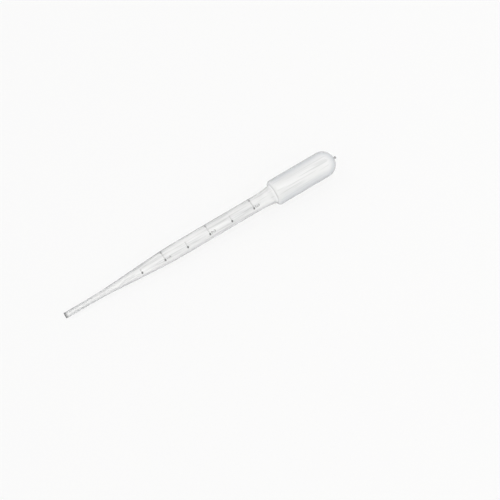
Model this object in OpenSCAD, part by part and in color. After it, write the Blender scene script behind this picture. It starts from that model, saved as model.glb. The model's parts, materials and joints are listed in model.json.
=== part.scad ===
// Graduated transfer pipette, blow-moulded in one piece of soft clear polyethylene.
// It lies on its side along X, tip towards -X, resting on its tip's rim and its bulb.
// The origin is on the surface it lies on, below the middle of its box.
// Each shape is drawn about the pipette's own axis, with z counted from the tip's cut end,
// and laid down at the end.

/* [Overall] */
// Length from the cut tip to the end of the pinch-off nub
overall_length = 155; // [130:1:190]
// Thickness of the blown wall
wall = 0.4; // [0.3:0.05:0.55]

/* [Tip and stem] */
// Outside diameter of the tip
tip_od = 2.8; // [2.2:0.1:3.6]
// Length of the straight tip
tip_length = 12; // [6:1:20]
// Length over which the tip widens into the stem
flare_length = 52; // [42:1:64]
// Outside diameter of the stem
stem_od = 7.8; // [6.4:0.1:9.4]

/* [Bulb] */
// Outside diameter of the squeeze bulb
bulb_od = 13.2; // [11:0.1:18]
// Length of the bulb, from its shoulder to the pole of its dome
bulb_length = 36; // [28:1:44]
// Length of the rounded shoulder
shoulder_length = 1.8; // [1:0.1:3]
// Outside diameter of the neck where it meets the shoulder
neck_od = 9.6; // [9.5:0.1:10.5]
// Length over which the stem widens into the neck
neck_length = 9; // [6:1:12]
// Diameter of the pinch-off nub on the dome
nub_diameter = 1.5; // [1:0.1:2.5]
// Height of the pinch-off nub
nub_length = 1.3; // [0.8:0.1:2]

/* [Graduation] */
// Height of the first mark above the tip
first_mark = 41.8; // [30:0.2:50]
// Distance from the last mark to the start of the neck
last_mark_gap = 3.7; // [3.6:0.1:6]
// Number of marks, one for each half millilitre
mark_count = 6; // [4:2:6]
// Width of a mark at its foot
mark_width = 0.6; // [0.4:0.1:0.8]
// Height of the marks and numerals above the skin
mark_relief = 0.18; // [0.1:0.02:0.24]
// Angle that a half millilitre mark covers
minor_span = 50; // [30:5:70]
// Angle that a whole millilitre mark covers
major_span = 110; // [80:5:140]
// Height of a numeral
digit_height = 2.4; // [1.8:0.1:2.6]
// Width of a numeral
digit_width = 1.5; // [1.2:0.1:1.8]
// Width of a numeral's stroke
digit_stroke = 0.4; // [0.3:0.05:0.45]

/* [Mould line] */
// Width of the two parting lines
seam_width = 0.3; // [0.2:0.05:0.5]
// Height of the parting lines above the skin
seam_relief = 0.08; // [0.04:0.01:0.12]

/* [Rest] */
// Angle from straight up to the middle of the marked face, towards the front
marks_turn = 33; // [0:1:40]

/* [Hidden] */

skin_color = [0.90, 0.92, 0.92];

tip_radius = tip_od / 2;
stem_radius = stem_od / 2;
neck_radius = neck_od / 2;
bulb_radius = bulb_od / 2;

// Stations along the axis
flare_end = tip_length + flare_length;
pole_z = overall_length - nub_length;
shoulder_z = pole_z - bulb_length;
neck_start = shoulder_z - neck_length;
dome_z = pole_z - bulb_radius;

mark_pitch = (neck_start - last_mark_gap - first_mark) / (mark_count - 1);
// All marks start at this angle from the middle of the marked face, and the whole millilitre
// ones run back from it to a parting line
mark_start = major_span - 90;
// Part of a mark's foot that its flat top covers
mark_top_share = 0.5;
// Free height between a whole millilitre mark and its numeral
digit_gap = 0.6;
// Raised features are rooted this deep in the wall
root_depth = wall / 2;

flare_steps = 16;
neck_steps = 4;
shoulder_steps = 4;
dome_steps = 12;
arc_steps = 8;
// The cavity's tool reaches this far out of the tip
mouth_reach = 1;

function smooth(t) = t * t * (3 - 2 * t);

// Outside radius from the tip to the shoulder
function skin_radius(z) =
    z < tip_length ? tip_radius
    : z < flare_end ? tip_radius + (stem_radius - tip_radius) * smooth((z - tip_length) / flare_length)
    : z < neck_start ? stem_radius
    : stem_radius + (neck_radius - stem_radius) * pow((z - neck_start) / neck_length, 2);

// Half outline from the flare to the pole, set in from the skin
function side_points(inset) = concat(
    [for (i = [0:flare_steps])
        let (z = tip_length + flare_length * i / flare_steps)
        [skin_radius(z) - inset, z]],
    [for (i = [0:neck_steps])
        let (z = neck_start + neck_length * i / neck_steps)
        [skin_radius(z) - inset, z]],
    [for (i = [0:shoulder_steps])
        let (a = 90 * i / shoulder_steps)
        [neck_radius - inset + (bulb_radius - neck_radius) * sin(a),
         shoulder_z + max(inset, 0) + (shoulder_length - max(inset, 0)) * (1 - cos(a))]],
    [for (i = [0:dome_steps])
        let (a = 90 * i / dome_steps)
        [(bulb_radius - inset) * cos(a), dome_z + (bulb_radius - inset) * sin(a)]]
);

// Lying at rest, the underside of the shoulder's end is level with the lowest ring below it,
// which is the tip's rim, or the stem's foot on a long slim pipette
contact_z = shoulder_z + shoulder_length;
lie_slope = min([
    for (p = concat([[tip_radius, 0]], side_points(0)))
        if (p[1] <= neck_start) (bulb_radius - p[0]) / (contact_z - p[1])
]);
lie_tilt = atan(lie_slope);

// The skin's seam edge is turned to a parting line, so the marked face is one face
module skin_solid() {
    rotate([0, 0, 90])
        rotate_extrude($fn = 96)
            polygon(concat([[0, 0], [tip_radius, 0]], side_points(0)));
}

module cavity() {
    mouth = [[0, -mouth_reach], [tip_radius - wall, -mouth_reach]];
    rotate_extrude($fn = 96)
        polygon(concat(mouth, side_points(wall)));
}

// Nub left where the mould pinched the parison shut
module pinch_nub() {
    r = nub_diameter / 2;
    rotate_extrude($fn = 48)
        polygon([
            [0, pole_z - root_depth],
            [r, pole_z - root_depth],
            [r, overall_length - r / 2],
            [r / 2, overall_length],
            [0, overall_length]
        ]);
}

// The two parting lines, as one thin plate that stands just proud of the skin
module parting_lines() {
    half = concat([[tip_radius + seam_relief, 0]], side_points(-seam_relief));
    mirrored = [for (i = [len(half) - 2:-1:0]) [-half[i][0], half[i][1]]];
    rotate([90, 0, 90])
        translate([0, 0, -seam_width / 2])
            linear_extrude(seam_width)
                polygon(concat(half, mirrored));
}

// One raised graduation line
module mark(z, span) {
    r = skin_radius(z);
    foot = mark_width / 2;
    top = foot * mark_top_share;
    rotate([0, 0, mark_start - span])
        rotate_extrude(angle = span, $fn = 96)
            polygon([
                [r - root_depth, z - foot],
                [r + mark_relief, z - top],
                [r + mark_relief, z + top],
                [r - root_depth, z + foot]
            ]);
}

// Curved stroke of a numeral about a centre, from one angle to another
module arc_stroke(centre, radius, from, to) {
    outer = radius + digit_stroke / 2;
    inner = radius - digit_stroke / 2;
    angles = [for (i = [0:arc_steps]) from + (to - from) * i / arc_steps];
    translate(centre)
        polygon(concat(
            [for (a = angles) outer * [cos(a), sin(a)]],
            [for (i = [arc_steps:-1:0]) inner * [cos(angles[i]), sin(angles[i])]]
        ));
}

// Straight stroke of a numeral, square at both ends
module line_stroke(start, end) {
    run = end - start;
    side = digit_stroke / 2 * [-run[1], run[0]] / norm(run);
    polygon([start - side, end - side, end + side, start + side]);
}

// Numerals stand on y = 0 and are centred on x = 0
module digit_one() {
    top = digit_height - digit_stroke / 2;
    line_stroke([0, 0], [0, digit_height]);
    line_stroke([0, top], [-digit_width / 2, top - digit_width / 2]);
}

module digit_two() {
    r = (digit_width - digit_stroke) / 2;
    eye = [0, digit_height - digit_stroke / 2 - r];
    base = digit_stroke / 2;
    arc_stroke(eye, r, -30, 180);
    line_stroke(eye + r * [cos(-30), sin(-30)], [-r, base]);
    line_stroke([-digit_width / 2, base], [digit_width / 2, base]);
}

module digit_three() {
    r = (digit_height - digit_stroke) / 4;
    arc_stroke([0, digit_stroke / 2 + r], r, -150, 90);
    arc_stroke([0, digit_stroke / 2 + 3 * r], r, -90, 150);
}

// Places a numeral on the skin above a mark, flush with the mark's end, reading upright with
// the tip down. Its face follows the round of the skin.
module on_skin(z) {
    r = skin_radius(z + digit_height / 2);
    intersection() {
        rotate([0, 0, mark_start - digit_width / 2 / r * 180 / PI])
            translate([r - root_depth, 0, z])
                rotate([90, 0, 90])
                    linear_extrude(root_depth + 2 * mark_relief)
                        children();
        translate([0, 0, z])
            cylinder(r = r + mark_relief, h = digit_height, $fn = 96);
    }
}

module graduation() {
    for (i = [0:mark_count - 1])
        mark(first_mark + i * mark_pitch, i % 2 == 0 ? minor_span : major_span);
    above = mark_width / 2 + digit_gap;
    on_skin(first_mark + mark_pitch + above) digit_one();
    on_skin(first_mark + 3 * mark_pitch + above) digit_two();
    if (mark_count > 5)
        on_skin(first_mark + 5 * mark_pitch + above) digit_three();
}

// Turns the marked face up, lays the axis along X and stands the shoulder's end on z = 0
module lay_down() {
    run = overall_length * cos(lie_tilt) - tip_radius * sin(lie_tilt);
    tip_height = bulb_radius * cos(lie_tilt) - contact_z * sin(lie_tilt);
    translate([-run / 2, 0, tip_height])
        rotate([0, 90 - lie_tilt, 0])
            rotate([0, 0, 180 + marks_turn])
                children();
}

module pipette() {
    color(skin_color)
        lay_down()
            difference() {
                union() {
                    skin_solid();
                    pinch_nub();
                    parting_lines();
                    graduation();
                }
                cavity();
            }
}

pipette();
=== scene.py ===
import json
import math

import bpy
import numpy as np
from mathutils import Matrix, Vector, noise


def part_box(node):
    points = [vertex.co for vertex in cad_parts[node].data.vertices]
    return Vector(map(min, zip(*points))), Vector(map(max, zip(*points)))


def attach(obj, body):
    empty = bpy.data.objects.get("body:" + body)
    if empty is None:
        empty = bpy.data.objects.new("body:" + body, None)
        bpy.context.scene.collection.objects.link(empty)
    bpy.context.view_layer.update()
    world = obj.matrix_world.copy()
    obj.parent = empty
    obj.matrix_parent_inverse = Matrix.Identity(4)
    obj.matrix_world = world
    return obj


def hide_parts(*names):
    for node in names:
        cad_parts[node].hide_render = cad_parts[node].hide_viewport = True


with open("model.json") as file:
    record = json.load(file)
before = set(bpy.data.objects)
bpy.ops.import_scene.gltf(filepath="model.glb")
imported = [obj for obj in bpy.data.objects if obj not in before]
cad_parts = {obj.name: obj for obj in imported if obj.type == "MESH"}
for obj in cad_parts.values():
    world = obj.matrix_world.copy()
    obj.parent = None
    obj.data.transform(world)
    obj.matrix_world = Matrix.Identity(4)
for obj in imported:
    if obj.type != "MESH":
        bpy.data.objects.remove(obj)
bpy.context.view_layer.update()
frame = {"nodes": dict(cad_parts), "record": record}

# A blow-moulded dropper pipette of soft clear plastic, lying on a pale floor. One closed mesh
# stands for the CAD solid: the outer skin with its marks, numerals and parting lines, the cut
# rim of the tip, and the inner skin.

MM = 0.001
DEG = math.pi / 180


# ---- Places and sizes that the frame gives ----

MOUNTS = {m["name"]: m for m in frame["record"]["mounts"]}


def round_mount(name):
    """Middle, unit axis, radius and length of one of the record's round mounts."""
    mount = MOUNTS[name]
    size = mount["dims"]
    middle = Vector(mount["pos_m"])
    return middle, Vector(mount["axis"]).normalized(), size["r_mm"] * MM, size["length_mm"] * MM


OUTLET_MIDDLE, OUTLET_AXIS, BORE_RADIUS, TIP_LENGTH = round_mount("tip_outlet")
STEM_MIDDLE, STEM_AXIS, STEM_RADIUS, STEM_LENGTH = round_mount("stem")

# The pipette's own axis runs from the middle of the tip's cut end towards the bulb
AXIS = -STEM_AXIS
TIP = OUTLET_MIDDLE + OUTLET_AXIS * TIP_LENGTH / 2
UP = (Vector((0, 0, 1)) - AXIS * AXIS.z).normalized()
FRONT = AXIS.cross(UP)


def along(point):
    """Distance of a point from the tip's cut end, along the pipette."""
    return (point - TIP).dot(AXIS)


LOW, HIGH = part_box("pipette")
LENGTH = max(along(v.co) for v in frame["nodes"]["pipette"].data.vertices)
BULB_RADIUS = (HIGH.y - LOW.y) / 2
STEM_START = along(STEM_MIDDLE) - STEM_LENGTH / 2
NECK_START = STEM_START + STEM_LENGTH


# ---- Sizes of the moulding, in metres ----

WALL = 0.4 * MM
TIP_RADIUS = BORE_RADIUS + WALL
NUB_RADIUS = 0.75 * MM
NUB_HEIGHT = 1.3 * MM
NUB_ROUND = 0.35 * MM
NUB_FILLET = 0.4 * MM
BULB_LENGTH = 36 * MM
SHOULDER_LENGTH = 1.8 * MM
NECK_RADIUS = 4.8 * MM
NECK_FILLET = 0.5 * MM
RIM_ROUND = 0.07 * MM

POLE = LENGTH - NUB_HEIGHT
DOME_START = POLE - BULB_RADIUS
SHOULDER_START = POLE - BULB_LENGTH

# Graduation: angles are counted from straight up, towards the front. All marks start at the
# same angle, and the long ones run back from it to a parting line.
MARKS_TURN = 33 * DEG
MINOR_SPAN = 50 * DEG
MAJOR_SPAN = 110 * DEG
MARK_START = MARKS_TURN + MAJOR_SPAN - 90 * DEG
FIRST_MARK = 41.8 * MM
LAST_MARK = NECK_START - 3.7 * MM
MARK_COUNT = 6
MARK_HALF_WIDTH = 0.27 * MM
MARK_HEIGHT = 0.18 * MM
# A mark starts with a thick oval foot, and a long one ends in a fainter dash
FOOT_HALF_LENGTH = 0.9 * MM
FOOT_HALF_WIDTH = 0.62 * MM
FOOT_HEIGHT = 0.25 * MM
DASH_HALF_LENGTH = 1.8 * MM
DASH_HALF_WIDTH = 0.6 * MM
DASH_HEIGHT = 0.2 * MM
# Numerals stand this far above the middle of a long mark
DIGIT_GAP = 0.9 * MM
DIGIT_HEIGHT = 2.4 * MM
DIGIT_WIDTH = 1.5 * MM
DIGIT_STROKE = 0.4 * MM
SEAM_TURNS = (MARKS_TURN + 90 * DEG, MARKS_TURN - 90 * DEG)
SEAM_HALF_WIDTH = 0.15 * MM
SEAM_HEIGHT = 0.08 * MM

# Share of a ridge's half width that its sides slope over
RIDGE_SLOPE = 0.6

# Painted shade: where the relief is steep or the plastic is thick, the colour is darkened by a
# # share that the mesh carries at each of its points, in place of the darkening that refraction
# gives
SHADE = "shade"
FLANK_SHADE = 0.8
DASH_SHADE = 0.7
DIGIT_SHADE = 0.75
NUB_SHADE = 0.7
RIM_SHADE = 0.9

# The blown wall is not quite even: it carries streaks along its length
STREAK_DEPTH = 0.035 * MM
STREAKS_AROUND = 3.2
STREAK_REACH = 9 * MM
SWELL_DEPTH = 0.05 * MM
SWELL_REACH = 22 * MM
SWELL_PLACE = (7.3, 1.9)

# The inner wall is even within this distance of the dome's pole
POLE_FADE = 2 * MM

# Mesh steps. The fine ones reach past a mark's end on its own side and beyond it.
STATION_STEP = 1.5 * MM
INNER_STEP = 1 * MM
MARK_STEP = 0.07 * MM
DIGIT_STEP = 0.09 * MM
TURN_STEP = 3 * DEG
FINE_TURN_STEP = 1.0 * DEG
NEAR_REACH = 4 * DEG
FAR_REACH = 6 * DEG
SEAM_TURN_STEP = 0.65 * DEG
SEAM_STEPS = 4
INNER_TURNS = 200
ARC_STEPS = 10
DOME_STEPS = 24
FLOOR_SIDES = 96


# ---- Looks, light and camera ----

# Clear plastic: the share of the skin that scatters light, what each share lets through, and
# how rough each share is
PLASTIC_IOR = 1.51
HAZE = 0.27
CLEAR_SHARE = 0.97
HAZY_SHARE = 0.85
CLEAR_ROUGHNESS = (0.05, 0.12)
HAZY_ROUGHNESS = 0.32
THROUGH_COLOUR = (0.98, 0.98, 0.98, 1)

# Draw lines in the plastic. The noise behind them is this many times longer than it is wide.
DRAW_LENGTH = 25
LINE_SCALE = 900
LINE_DEPTH = 0.06 * MM
LINE_STRENGTH = 0.25
STREAK_SCALE = 1300
STREAK_STOP = (0.36, (0.74, 0.745, 0.75, 1))
PALE_STOP = (0.46, (0.99, 0.99, 0.985, 1))
# Value of the noise that gives no streak, what the bulb's streaks lose towards it, and how far
# the skin leans to the axis where the streaks start to run out and where they are gone
NO_STREAK = 0.5
BULB_STREAK_LOSS = 0.25
STREAK_RUN_OUT = (0.1, 0.6)

# The bulb's own look is full at this distance past its shoulder's start
BULB_FADE_IN = 3 * MM

# Colours of the painted shade on the relief, of the bulb's painted bands and of the painted dark
# # edges, and how far the skin turns away from the eye where bands and edges start and are full
PAINTED_SHADE_COLOUR = (0.06, 0.06, 0.06, 1)
PAINTED_BAND_COLOUR = (0.84, 0.86, 0.88, 1)
PAINTED_EDGE_COLOUR = (0.54, 0.555, 0.575, 1)
BAND_FACING = (0.10, 0.45)
TIP_EDGE_START = 0
STEM_EDGE_START = 0.40
EDGE_END = 0.90
BULB_EDGE_SHARE = 0.9

# Floor, backdrop and light
FLOOR_RADIUS = 1.6
FLOOR_DARK = (0, (0.928, 0.928, 0.928, 1))
FLOOR_PALE = (1, (0.946, 0.946, 0.946, 1))
FLOOR_GRAIN_SCALE = 900
FLOOR_GRAIN_DEPTH = 0.02 * MM
FLOOR_ROUGHNESS = 0.75
FLOOR_GLOSS = 0.2
BACKDROP_COLOUR = (0.93, 0.93, 0.93, 1)
WORLD_LEAN = 18 * DEG
WORLD_DARK = (0.12, (0.50, 0.50, 0.51, 1))
WORLD_PALE = (0.5, (1.07, 1.07, 1.065, 1))

# The camera, with the pipette's middle left of and above the middle of the picture
CAMERA_AZIMUTH = -32.84
CAMERA_ELEVATION = 62
CAMERA_DISTANCE = 0.70
CAMERA_LENS = 103.9
FRAMED_LEFT = 22.5 * MM
FRAMED_UP = 7.5 * MM


# ---- Outline of the outer skin ----

def smooth(t):
    t = np.clip(t, 0, 1)
    return t * t * (3 - 2 * t)


def skin_radius(z):
    """Outside radius from the tip to the shoulder: tip, taper, stem and flared neck."""
    taper = smooth((z - TIP_LENGTH) / (STEM_START - TIP_LENGTH))
    neck = np.clip((z - NECK_START) / (SHOULDER_START - NECK_START), 0, 1) ** 2
    return TIP_RADIUS + (STEM_RADIUS - TIP_RADIUS) * taper + (NECK_RADIUS - STEM_RADIUS) * neck


def arc(centre, radius_z, radius_r, start, end, steps):
    """Points of an elliptical arc in (z, r), its angles counted from +z towards +r."""
    turns = np.linspace(start, end, steps + 1)
    return [(centre[0] + radius_z * math.cos(a), centre[1] + radius_r * math.sin(a)) for a in turns]


def mark_places():
    return np.linspace(FIRST_MARK, LAST_MARK, MARK_COUNT)


def digit_places():
    """Foot of each numeral: there is one above every whole millilitre mark."""
    return mark_places()[1::2] + DIGIT_GAP


def merged(values, gap):
    """Values in order, without those that lie nearer than gap to the one before."""
    kept = []
    for value in sorted(values):
        if not kept or value - kept[-1] >= gap:
            kept.append(value)
    return np.array(kept)


def stations():
    """Places along the tip, taper, stem and neck, close together at the marks and numerals."""
    places = list(np.arange(RIM_ROUND, SHOULDER_START, STATION_STEP))
    reach = FOOT_HALF_WIDTH + MARK_STEP
    for z in mark_places():
        places += list(np.arange(z - reach, z + reach, MARK_STEP))
    for z in digit_places():
        places += list(np.arange(z - DIGIT_STROKE, z + DIGIT_HEIGHT + DIGIT_STROKE, DIGIT_STEP))
    return merged(places, MARK_STEP / 2)


def shoulder_outline():
    """From the neck's end, through a hollow fillet and a rounded corner, to the bulb's side."""
    foot = SHOULDER_START - NECK_FILLET
    hollow = arc((foot, NECK_RADIUS + NECK_FILLET), NECK_FILLET, NECK_FILLET,
                 -90 * DEG, 0, ARC_STEPS // 2)
    rise = NECK_RADIUS + NECK_FILLET
    corner = arc((SHOULDER_START + SHOULDER_LENGTH, rise), SHOULDER_LENGTH, BULB_RADIUS - rise,
                 180 * DEG, 90 * DEG, ARC_STEPS)
    return hollow + corner[1:]


def bulb_outline():
    side_start = SHOULDER_START + SHOULDER_LENGTH
    count = int((DOME_START - side_start) / STATION_STEP)
    side = [(z, BULB_RADIUS) for z in np.linspace(side_start, DOME_START, count + 1)[1:-1]]
    return side + arc((DOME_START, 0), BULB_RADIUS, BULB_RADIUS, 90 * DEG, 0, DOME_STEPS)


def nub_outline():
    """The pinched-off nub, from its fillet on the dome to the middle of its end."""
    side = NUB_RADIUS
    foot = DOME_START + math.sqrt(BULB_RADIUS ** 2 - (side + NUB_FILLET) ** 2)
    fillet = arc((foot + NUB_FILLET, side + NUB_FILLET), NUB_FILLET, NUB_FILLET,
                 180 * DEG, 270 * DEG, ARC_STEPS // 2)
    end = arc((LENGTH - NUB_ROUND, side - NUB_ROUND), NUB_ROUND, NUB_ROUND,
              90 * DEG, 0, ARC_STEPS // 2)
    return fillet + end + [(LENGTH, 0)]


def outer_outline():
    body = [(z, float(skin_radius(z))) for z in stations() if z < SHOULDER_START - NECK_FILLET]
    dome = [p for p in bulb_outline() if p[1] > NUB_RADIUS + NUB_FILLET]
    return np.array(body + shoulder_outline() + dome + nub_outline())


def inner_outline():
    """The outer skin without marks and nub, set in by the wall along its own normal."""
    places = np.arange(0, SHOULDER_START - NECK_FILLET, INNER_STEP)
    body = [(z, float(skin_radius(z))) for z in places]
    points = np.array(body + shoulder_outline() + bulb_outline())
    run = np.gradient(points, axis=0)
    run /= np.linalg.norm(run, axis=1)[:, None]
    inset = points + WALL * np.stack([run[:, 1], -run[:, 0]], axis=1)
    inset[:, 1] = np.maximum(inset[:, 1], 0)
    inset[-1] = (POLE - WALL, 0)
    return inset


# ---- Relief: marks, numerals and parting lines ----

def ridge(distance, half_width, height):
    """Height of a soft-edged ridge at a distance from its middle line."""
    return height * smooth((half_width - distance) / (half_width * RIDGE_SLOPE))


def turned(turn, middle):
    """Angle from a middle, between -pi and pi."""
    return (turn - middle + math.pi) % (2 * math.pi) - math.pi


def mark_relief(z, turn, radius, place, span):
    """A ring line round part of the stem, with rounded ends."""
    middle = MARK_START - span / 2
    beyond = np.maximum(np.abs(turned(turn, middle)) - span / 2, 0) * radius
    return ridge(np.hypot(z - place, beyond), MARK_HALF_WIDTH, MARK_HEIGHT)


def foot_distance(z, turn, radius, place):
    """Distance from the middle of the thick oval foot that a mark starts with, 1 at its rim."""
    across = turned(turn, MARK_START) * radius + FOOT_HALF_LENGTH / 2
    return np.hypot((z - place) / FOOT_HALF_WIDTH, across / FOOT_HALF_LENGTH)


def dash_distance(z, turn, radius, place):
    """Distance from the middle of a whole millilitre mark's thick far end, 1 at its rim."""
    across = turned(turn, MARK_START - MAJOR_SPAN) * radius - DASH_HALF_LENGTH
    return np.hypot((z - place) / DASH_HALF_WIDTH, across / DASH_HALF_LENGTH)


def arc_line(centre, radius, start, end):
    return [centre + radius * np.array((math.cos(a), math.sin(a)))
            for a in np.linspace(start, end, ARC_STEPS)]


def digit_lines(digit):
    """Strokes of a numeral, which stands on y = 0 and is centred on x = 0."""
    half = DIGIT_STROKE / 2
    left, right = half - DIGIT_WIDTH / 2, DIGIT_WIDTH / 2 - half
    top = DIGIT_HEIGHT - half
    if digit == 1:
        return [[(0, half), (0, top)], [(0, top), (left, top + left)]]
    if digit == 2:
        bowl = arc_line(np.array((0, top - right)), right, 180 * DEG, -30 * DEG)
        return [bowl + [(left, half)], [(left, half), (right, half)]]
    bowl = (top - half) / 4
    upper = arc_line(np.array((0, top - bowl)), bowl, 150 * DEG, -90 * DEG)
    lower = arc_line(np.array((0, half + bowl)), bowl, 90 * DEG, -150 * DEG)
    return [upper + lower[1:]]


def line_distance(x, y, start, end):
    """Distance of each point (x, y) from the straight line between two points."""
    run = np.subtract(end, start)
    share = ((x - start[0]) * run[0] + (y - start[1]) * run[1]) / (run @ run)
    share = np.clip(share, 0, 1)
    return np.hypot(x - start[0] - share * run[0], y - start[1] - share * run[1])


def digit_relief(z, turn, radius, place, digit):
    middle = MARK_START - DIGIT_WIDTH / 2 / STEM_RADIUS
    x = turned(turn, middle) * radius
    y = z - place
    distance = np.full(x.shape, DIGIT_HEIGHT)
    for line in digit_lines(digit):
        for start, end in zip(line, line[1:]):
            distance = np.minimum(distance, line_distance(x, y, start, end))
    return ridge(distance, DIGIT_STROKE / 2, MARK_HEIGHT)


def relief(z, turn, radius):
    """Height that the marks, the numerals and the parting lines stand over the skin."""
    height = np.zeros(z.shape)
    for seam in SEAM_TURNS:
        across = np.abs(turned(turn, seam)) * radius
        height = np.maximum(height, ridge(across, SEAM_HALF_WIDTH, SEAM_HEIGHT))
    for i, place in enumerate(mark_places()):
        span = MAJOR_SPAN if i % 2 else MINOR_SPAN
        height = np.maximum(height, mark_relief(z, turn, radius, place, span))
        foot = foot_distance(z, turn, radius, place)
        height = np.maximum(height, ridge(foot, 1, FOOT_HEIGHT))
        if i % 2:
            dash = dash_distance(z, turn, radius, place)
            height = np.maximum(height, ridge(dash, 1, DASH_HEIGHT))
    for i, place in enumerate(digit_places()):
        height = np.maximum(height, digit_relief(z, turn, radius, place, i + 1))
    return height


# ---- The mesh ----

def outer_turns():
    """Angles round the outer skin, close together at the marks' ends, numerals and seams."""
    turns = list(np.arange(-math.pi, math.pi, TURN_STEP))
    digits_end = MARK_START - DIGIT_WIDTH / STEM_RADIUS
    fine_end = MARK_START + FAR_REACH
    turns += list(np.arange(digits_end - NEAR_REACH, fine_end, FINE_TURN_STEP))
    for span in (MINOR_SPAN, MAJOR_SPAN):
        end = MARK_START - span
        turns += list(np.arange(end - FAR_REACH, end + NEAR_REACH, FINE_TURN_STEP))
    for seam in SEAM_TURNS:
        turns += list(seam + np.arange(-SEAM_STEPS, SEAM_STEPS + 1) * SEAM_TURN_STEP)
    return merged(turns, SEAM_TURN_STEP * 0.9)


def ring_points(outline_points, turns, lift):
    """World points of rings about the axis, one for each outline point but not the pole."""
    z = outline_points[:, :1] + 0 * turns
    radius = outline_points[:, 1:] + lift
    out = np.cos(turns)[:, None] * np.array(UP) + np.sin(turns)[:, None] * np.array(FRONT)
    return np.array(TIP) + z[..., None] * np.array(AXIS) + radius[..., None] * out


def outer_lift(points, turns):
    z = points[:, :1] + 0 * turns
    turn = turns[None, :] + 0 * z
    radius = np.maximum(points[:, 1:] + 0 * turns, TIP_RADIUS)
    on_nub = z > POLE - NUB_FILLET
    return np.where(on_nub, 0, relief(z, turn, radius))


def streak(z, turn):
    """Unevenness of the wall: fine streaks along the length and a slower swell."""
    around = Vector((math.cos(turn), math.sin(turn), 0))
    fine = noise.noise(around * STREAKS_AROUND + Vector((0, 0, z / STREAK_REACH)))
    slow = noise.noise(around + Vector((*SWELL_PLACE, z / SWELL_REACH)))
    return STREAK_DEPTH * fine + SWELL_DEPTH * slow


def inner_lift(points, turns):
    rows = [[streak(z, turn) for turn in turns] for z in points[:, 0]]
    fade = smooth((points[:, 0] - TIP_LENGTH) / TIP_LENGTH)[:, None]
    near_pole = smooth(points[:, 1] / POLE_FADE)[:, None]
    return np.array(rows) * fade * near_pole


def ring_faces(first, rows, count, flip):
    """Quads between rings of count points, the rings stored one after another."""
    faces = []
    for row in range(rows - 1):
        here = first + row * count
        for i in range(count):
            j = (i + 1) % count
            quad = (here + i, here + j, here + count + j, here + count + i)
            faces.append(quad[::-1] if flip else quad)
    return faces


def fan_faces(ring, count, pole, flip):
    faces = []
    for i in range(count):
        tri = (ring + i, ring + (i + 1) % count, pole)
        faces.append(tri[::-1] if flip else tri)
    return faces


def joined_rings(ring_a, turns_a, ring_b, turns_b, flip):
    """Triangles between two rings with different angles, both in rising order."""
    faces = []
    i = j = 0
    count_a, count_b = len(turns_a), len(turns_b)
    full = 2 * math.pi
    while i < count_a or j < count_b:
        next_a = turns_a[(i + 1) % count_a] + full * ((i + 1) // count_a)
        next_b = turns_b[(j + 1) % count_b] + full * ((j + 1) // count_b)
        a, b = ring_a + i % count_a, ring_b + j % count_b
        if j >= count_b or (i < count_a and next_a <= next_b):
            tri = (a, ring_a + (i + 1) % count_a, b)
            i += 1
        else:
            tri = (a, ring_b + (j + 1) % count_b, b)
            j += 1
        faces.append(tri[::-1] if flip else tri)
    return faces


def shade_of(points, turns, lift):
    """How much painted shade darkens each point of the outer rings, from 0 to 1."""
    z = points[:, :1] + 0 * turns
    turn = turns[None, :] + 0 * z
    radius = np.maximum(points[:, 1:] + 0 * turns, TIP_RADIUS)
    shade = FLANK_SHADE * np.clip(np.abs(np.gradient(lift, axis=0)) / (MARK_HEIGHT / 2), 0, 1)
    for i, place in enumerate(mark_places()):
        foot = foot_distance(z, turn, radius, place)
        shade = np.maximum(shade, smooth(2 * (1 - foot)))
        if i % 2:
            dash = dash_distance(z, turn, radius, place)
            shade = np.maximum(shade, DASH_SHADE * smooth(2 * (1 - dash)))
    for i, place in enumerate(digit_places()):
        height = digit_relief(z, turn, radius, place, i + 1)
        shade = np.maximum(shade, DIGIT_SHADE * height / MARK_HEIGHT)
    shade = np.maximum(shade, NUB_SHADE * smooth((z - POLE) / NUB_FILLET))
    return np.where(z < 2 * RIM_ROUND, RIM_SHADE, shade)


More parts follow.
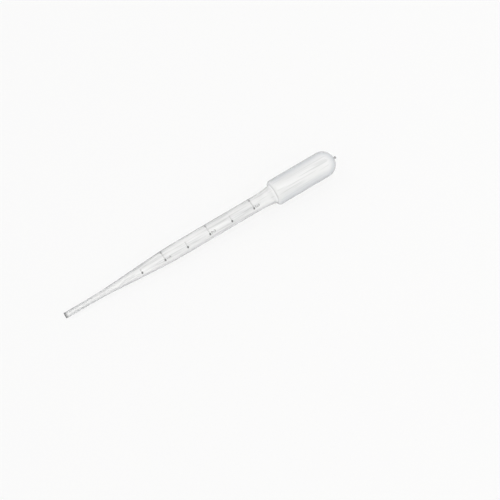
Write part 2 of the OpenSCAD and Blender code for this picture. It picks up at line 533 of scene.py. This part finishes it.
def pipette_mesh():
    turns = outer_turns()
    inner_turns = np.linspace(-math.pi, math.pi, INNER_TURNS, endpoint=False)
    outer = outer_outline()
    inner = inner_outline()
    # The rim: the cut end, with its two edges just broken
    rim = np.array([(0, TIP_RADIUS - RIM_ROUND)])
    outer_rings = np.concatenate([rim, outer[:-1]])
    inner_rings = np.concatenate([[(0, BORE_RADIUS + RIM_ROUND)], [(RIM_ROUND, BORE_RADIUS)],
                                  inner[1:-1]])
    lift = outer_lift(outer_rings, turns)
    outer_points = ring_points(outer_rings, turns, lift)
    inner_points = ring_points(inner_rings, inner_turns, inner_lift(inner_rings, inner_turns))
    outer_pole = np.array(TIP + AXIS * LENGTH)
    inner_pole = np.array(TIP + AXIS * (POLE - WALL))
    outer_count, inner_count = len(turns), len(inner_turns)
    inner_first = outer_points.shape[0] * outer_count
    poles = inner_first + inner_points.shape[0] * inner_count
    points = np.concatenate([outer_points.reshape(-1, 3), inner_points.reshape(-1, 3),
                             [outer_pole, inner_pole]])
    faces = ring_faces(0, outer_points.shape[0], outer_count, False)
    faces += fan_faces(inner_first - outer_count, outer_count, poles, False)
    faces += ring_faces(inner_first, inner_points.shape[0], inner_count, True)
    faces += fan_faces(poles - inner_count, inner_count, poles + 1, True)
    faces += joined_rings(0, turns, inner_first, inner_turns, True)
    mesh = bpy.data.meshes.new("pipette_skin")
    mesh.from_pydata(points.tolist(), [], faces)
    mesh.shade_smooth()
    mesh.validate()
    # Painted shade at each point: the marks' flanks, feet and dashes, the numerals, the nub and the
    # cut rim
    shade = np.zeros(len(points), dtype=np.float32)
    shade[:lift.size] = shade_of(outer_rings, turns, lift).ravel()
    shade[inner_first:inner_first + 2 * inner_count] = RIM_SHADE
    shade[poles] = NUB_SHADE
    mesh.attributes.new(SHADE, "FLOAT", "POINT").data.foreach_set("value", shade)
    return mesh


# ---- Materials ----

def new_material(name):
    """A material, its node tree and its Principled shader."""
    material = bpy.data.materials.new(name)
    material.use_nodes = True
    tree = material.node_tree
    return material, tree, tree.nodes["Principled BSDF"]


def add_node(tree, kind, values=None, sources=None, **settings):
    """A new node with its settings, its sockets' own values and the outputs that feed it."""
    node = tree.nodes.new("ShaderNode" + kind)
    for name, value in settings.items():
        setattr(node, name, value)
    for socket, value in (values or {}).items():
        node.inputs[socket].default_value = value
    for socket, source in (sources or {}).items():
        tree.links.new(source, node.inputs[socket])
    return node


def feed(tree, node, sources):
    for socket, source in sources.items():
        tree.links.new(source, node.inputs[socket])


def spread(tree, source, ends, results=(0, 1)):
    """A map range node, which turns the ends of a source's range into two results."""
    values = {"From Min": ends[0], "From Max": ends[1], "To Min": results[0], "To Max": results[1]}
    return add_node(tree, "MapRange", values, {"Value": source})


def mixed_colour(tree, share, source, colour):
    """Colour of a source, mixed by a share with one other colour."""
    node = add_node(tree, "Mix", data_type="RGBA")
    node.inputs["B"].default_value = colour
    feed(tree, node, {"Factor": share, "A": source})
    return node.outputs["Result"]


def two_colours(tree, source, low, high):
    """Colour ramp between two stops, each a position and a colour."""
    node = add_node(tree, "ValToRGB", sources={"Fac": source})
    for stop, (position, colour) in zip(node.color_ramp.elements, (low, high)):
        stop.position = position
        stop.color = colour
    return node.outputs["Color"]


def draw_line_noise(tree, place, scale):
    """Noise that is drawn out along the pipette."""
    values = {"Rotation": (0, -math.atan2(AXIS.z, AXIS.x), 0), "Scale": (DRAW_LENGTH, 1, 1)}
    lengthwise = add_node(tree, "Mapping", values, {"Vector": place.outputs["Object"]},
                          vector_type="TEXTURE")
    noise_node = add_node(tree, "TexNoise", {"Scale": scale, "Detail": 1},
                          {"Vector": lengthwise.outputs["Vector"]})
    return noise_node.outputs["Fac"]


def along_axis(tree, vector):
    """Part of a vector that lies along the pipette's axis."""
    node = add_node(tree, "VectorMath", sources={0: vector}, operation="DOT_PRODUCT")
    node.inputs[1].default_value = AXIS
    return node.outputs["Value"]


def axis_place(distance):
    """What along_axis gives at a distance from the tip's cut end."""
    return TIP.dot(AXIS) + distance


def streaked_colour(tree, place, on_bulb):
    """Pale plastic with darker draw lines, which run out over the dome and the shoulder."""
    steep = add_node(tree, "Math", sources={0: along_axis(tree, place.outputs["Normal"])},
                     operation="ABSOLUTE")
    run_out = spread(tree, steep.outputs["Value"], STREAK_RUN_OUT)
    # The bulb is blown out further, so its draw lines are fainter
    blown = spread(tree, on_bulb, (0, 1), (0, BULB_STREAK_LOSS))
    feed(tree, run_out, {"To Min": blown.outputs["Result"]})
    faded = add_node(tree, "Mix", {"B": NO_STREAK})
    feed(tree, faded, {"Factor": run_out.outputs["Result"],
                       "A": draw_line_noise(tree, place, STREAK_SCALE)})
    return two_colours(tree, faded.outputs["Result"], STREAK_STOP, PALE_STOP)


def plastic_and_shade_colour(tree, place):
    """Colour of the plastic with its draw lines, and painted shade on the relief, along the bulb's
    sides and where the skin is seen edge-on.
    """
    station = along_axis(tree, place.outputs["Object"])
    bulb_ends = (axis_place(SHOULDER_START), axis_place(SHOULDER_START + BULB_FADE_IN))
    on_bulb = spread(tree, station, bulb_ends).outputs["Result"]
    colour = streaked_colour(tree, place, on_bulb)

    # Painted shade on the steep sides and thick feet of the moulded marks, the numerals, the nub
    # and
    #     # the cut rim, in place of the darkening that refraction gives there
    painted_relief_shade = add_node(tree, "Attribute", attribute_name=SHADE)
    colour = mixed_colour(tree, painted_relief_shade.outputs["Fac"], colour, PAINTED_SHADE_COLOUR)

    # Painted shade: a wide, faint darker band along the bulb's sides, where its skin turns away
    # from the eye
    facing = add_node(tree, "LayerWeight", {"Blend": 0.5}).outputs["Facing"]
    band = spread(tree, facing, BAND_FACING)
    feed(tree, band, {"To Max": on_bulb})
    colour = mixed_colour(tree, band.outputs["Result"], colour, PAINTED_BAND_COLOUR)

    # Painted shade at the edges, where the skin turns away from the eye, in place of the longer
    # path
    #     # through the wall; the narrow tip's wall is thick for its width, so its painted edges are
    #     wide
    taper_ends = (axis_place(TIP_LENGTH), axis_place(STEM_START))
    edge_start = spread(tree, station, taper_ends, (TIP_EDGE_START, STEM_EDGE_START))
    edge_share = spread(tree, on_bulb, (0, 1), (1, BULB_EDGE_SHARE))
    edge = spread(tree, facing, (0, EDGE_END))
    feed(tree, edge, {"From Min": edge_start.outputs["Result"],
                      "To Max": edge_share.outputs["Result"]})
    return mixed_colour(tree, edge.outputs["Result"], colour, PAINTED_EDGE_COLOUR)


def pass_light(tree, surface):
    """Lets lamps and diffuse light through, so the shadow is as pale as a clear object's."""
    through = add_node(tree, "BsdfTransparent", {"Color": THROUGH_COLOUR})
    rays = add_node(tree, "LightPath")
    for kind in ("Is Shadow Ray", "Is Diffuse Ray"):
        mix = add_node(tree, "MixShader")
        feed(tree, mix, {"Fac": rays.outputs[kind], 1: surface, 2: through.outputs["BSDF"]})
        surface = mix.outputs["Shader"]
    return surface


def clear_plastic():
    """Soft clear polyethylene: hazy, with faint draw lines along its length."""
    material, tree, shader = new_material("clear_plastic")
    hazy = add_node(tree, "BsdfPrincipled")
    for plastic, clear_share in ((shader, CLEAR_SHARE), (hazy, HAZY_SHARE)):
        plastic.inputs["IOR"].default_value = PLASTIC_IOR
        plastic.inputs["Transmission Weight"].default_value = clear_share
    hazy.inputs["Roughness"].default_value = HAZY_ROUGHNESS

    place = add_node(tree, "TexCoord")
    lines = draw_line_noise(tree, place, LINE_SCALE)
    rough = spread(tree, lines, (0, 1), CLEAR_ROUGHNESS)
    bump = add_node(tree, "Bump", {"Strength": LINE_STRENGTH, "Distance": LINE_DEPTH},
                    {"Height": lines})
    look = {"Base Color": plastic_and_shade_colour(tree, place), "Normal": bump.outputs["Normal"]}
    feed(tree, hazy, look)
    feed(tree, shader, look)
    feed(tree, shader, {"Roughness": rough.outputs["Result"]})

    skin = add_node(tree, "MixShader")
    skin.inputs["Fac"].default_value = HAZE
    feed(tree, skin, {1: shader.outputs["BSDF"], 2: hazy.outputs["BSDF"]})
    surface = pass_light(tree, skin.outputs["Shader"])
    feed(tree, tree.nodes["Material Output"], {"Surface": surface})
    return material


def floor_material():
    """Matt white board with a fine grain."""
    material, tree, shader = new_material("pale_floor")
    place = add_node(tree, "TexCoord")
    grain = add_node(tree, "TexNoise", {"Scale": FLOOR_GRAIN_SCALE, "Detail": 4},
                     {"Vector": place.outputs["Object"]}).outputs["Fac"]
    bump = add_node(tree, "Bump", {"Strength": 0.1, "Distance": FLOOR_GRAIN_DEPTH},
                    {"Height": grain})
    feed(tree, shader, {"Base Color": two_colours(tree, grain, FLOOR_DARK, FLOOR_PALE),
                        "Normal": bump.outputs["Normal"]})
    shader.inputs["Roughness"].default_value = FLOOR_ROUGHNESS
    shader.inputs["Specular IOR Level"].default_value = FLOOR_GLOSS
    return material


# ---- The piece, the floor, the light and the camera ----

def add_pipette():
    piece = bpy.data.objects.new("clear_pipette", pipette_mesh())
    bpy.context.scene.collection.objects.link(piece)
    piece.data.materials.append(clear_plastic())
    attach(piece, "root")
    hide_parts("pipette")
    return piece


def add_floor():
    """A round pale floor, level with the lowest point of the part."""
    turns = np.linspace(0, 2 * math.pi, FLOOR_SIDES, endpoint=False)
    rim = [(FLOOR_RADIUS * math.cos(a), FLOOR_RADIUS * math.sin(a), LOW.z) for a in turns]
    mesh = bpy.data.meshes.new("floor")
    mesh.from_pydata(rim, [], [list(range(len(rim)))])
    floor = bpy.data.objects.new("floor", mesh)
    bpy.context.scene.collection.objects.link(floor)
    mesh.materials.append(floor_material())


def add_lamp(name, azimuth, elevation, distance, length, width, power, colour):
    """A long soft lamp over the pipette, in line with it, that points at its middle."""
    data = bpy.data.lights.new(name, "AREA")
    data.shape = "RECTANGLE"
    data.size = length
    data.size_y = width
    data.energy = power
    data.color = colour
    lamp = bpy.data.objects.new(name, data)
    bpy.context.scene.collection.objects.link(lamp)
    back = view_back(azimuth, elevation)
    lamp.location = back * distance
    across = back.cross(AXIS).normalized()
    lamp.rotation_euler = Matrix((across.cross(back), across, back)).transposed().to_euler()


def add_world():
    """Soft light from all round, dark low down at the back and white over the front."""
    world = bpy.data.worlds.new("studio")
    world.use_nodes = True
    bpy.context.scene.world = world
    tree = world.node_tree
    place = add_node(tree, "TexCoord")
    height = add_node(tree, "VectorMath", sources={0: place.outputs["Generated"]},
                      operation="DOT_PRODUCT")
    height.inputs[1].default_value = (0, -math.sin(WORLD_LEAN), math.cos(WORLD_LEAN))
    sky = two_colours(tree, height.outputs["Value"], WORLD_DARK, WORLD_PALE)

    # The camera, gloss and clear plastic see a plain pale backdrop
    rays = add_node(tree, "LightPath")
    seen = rays.outputs["Is Camera Ray"]
    for kind in ("Is Glossy Ray", "Is Transmission Ray"):
        either = add_node(tree, "Math", sources={0: seen, 1: rays.outputs[kind]},
                          operation="MAXIMUM")
        seen = either.outputs["Value"]
    backdrop = mixed_colour(tree, seen, sky, BACKDROP_COLOUR)
    feed(tree, tree.nodes["Background"], {"Color": backdrop})


def view_back(azimuth, elevation):
    """Direction from the object towards an eye at that azimuth and elevation, in degrees."""
    a, e = azimuth * DEG, elevation * DEG
    return Vector((math.sin(a) * math.cos(e), -math.cos(a) * math.cos(e), math.sin(e)))


def add_camera():
    back = view_back(CAMERA_AZIMUTH, CAMERA_ELEVATION)
    right = view_back(CAMERA_AZIMUTH + 90, 0)
    up = back.cross(right)
    middle = TIP + AXIS * LENGTH / 2
    data = bpy.data.cameras.new("camera")
    data.lens = CAMERA_LENS
    camera = bpy.data.objects.new("camera", data)
    bpy.context.scene.collection.objects.link(camera)
    camera.location = middle + right * FRAMED_LEFT - up * FRAMED_UP + back * CAMERA_DISTANCE
    camera.rotation_euler = back.to_track_quat("Z", "Y").to_euler()
    bpy.context.scene.camera = camera


def main():
    bpy.context.scene.view_settings.view_transform = "Standard"
    add_camera()
    add_pipette()
    add_floor()
    add_world()
    add_lamp("key", azimuth=60, elevation=64, distance=1.2, length=0.8, width=0.6, power=0.8,
             colour=(1.0, 0.99, 0.98))


main()
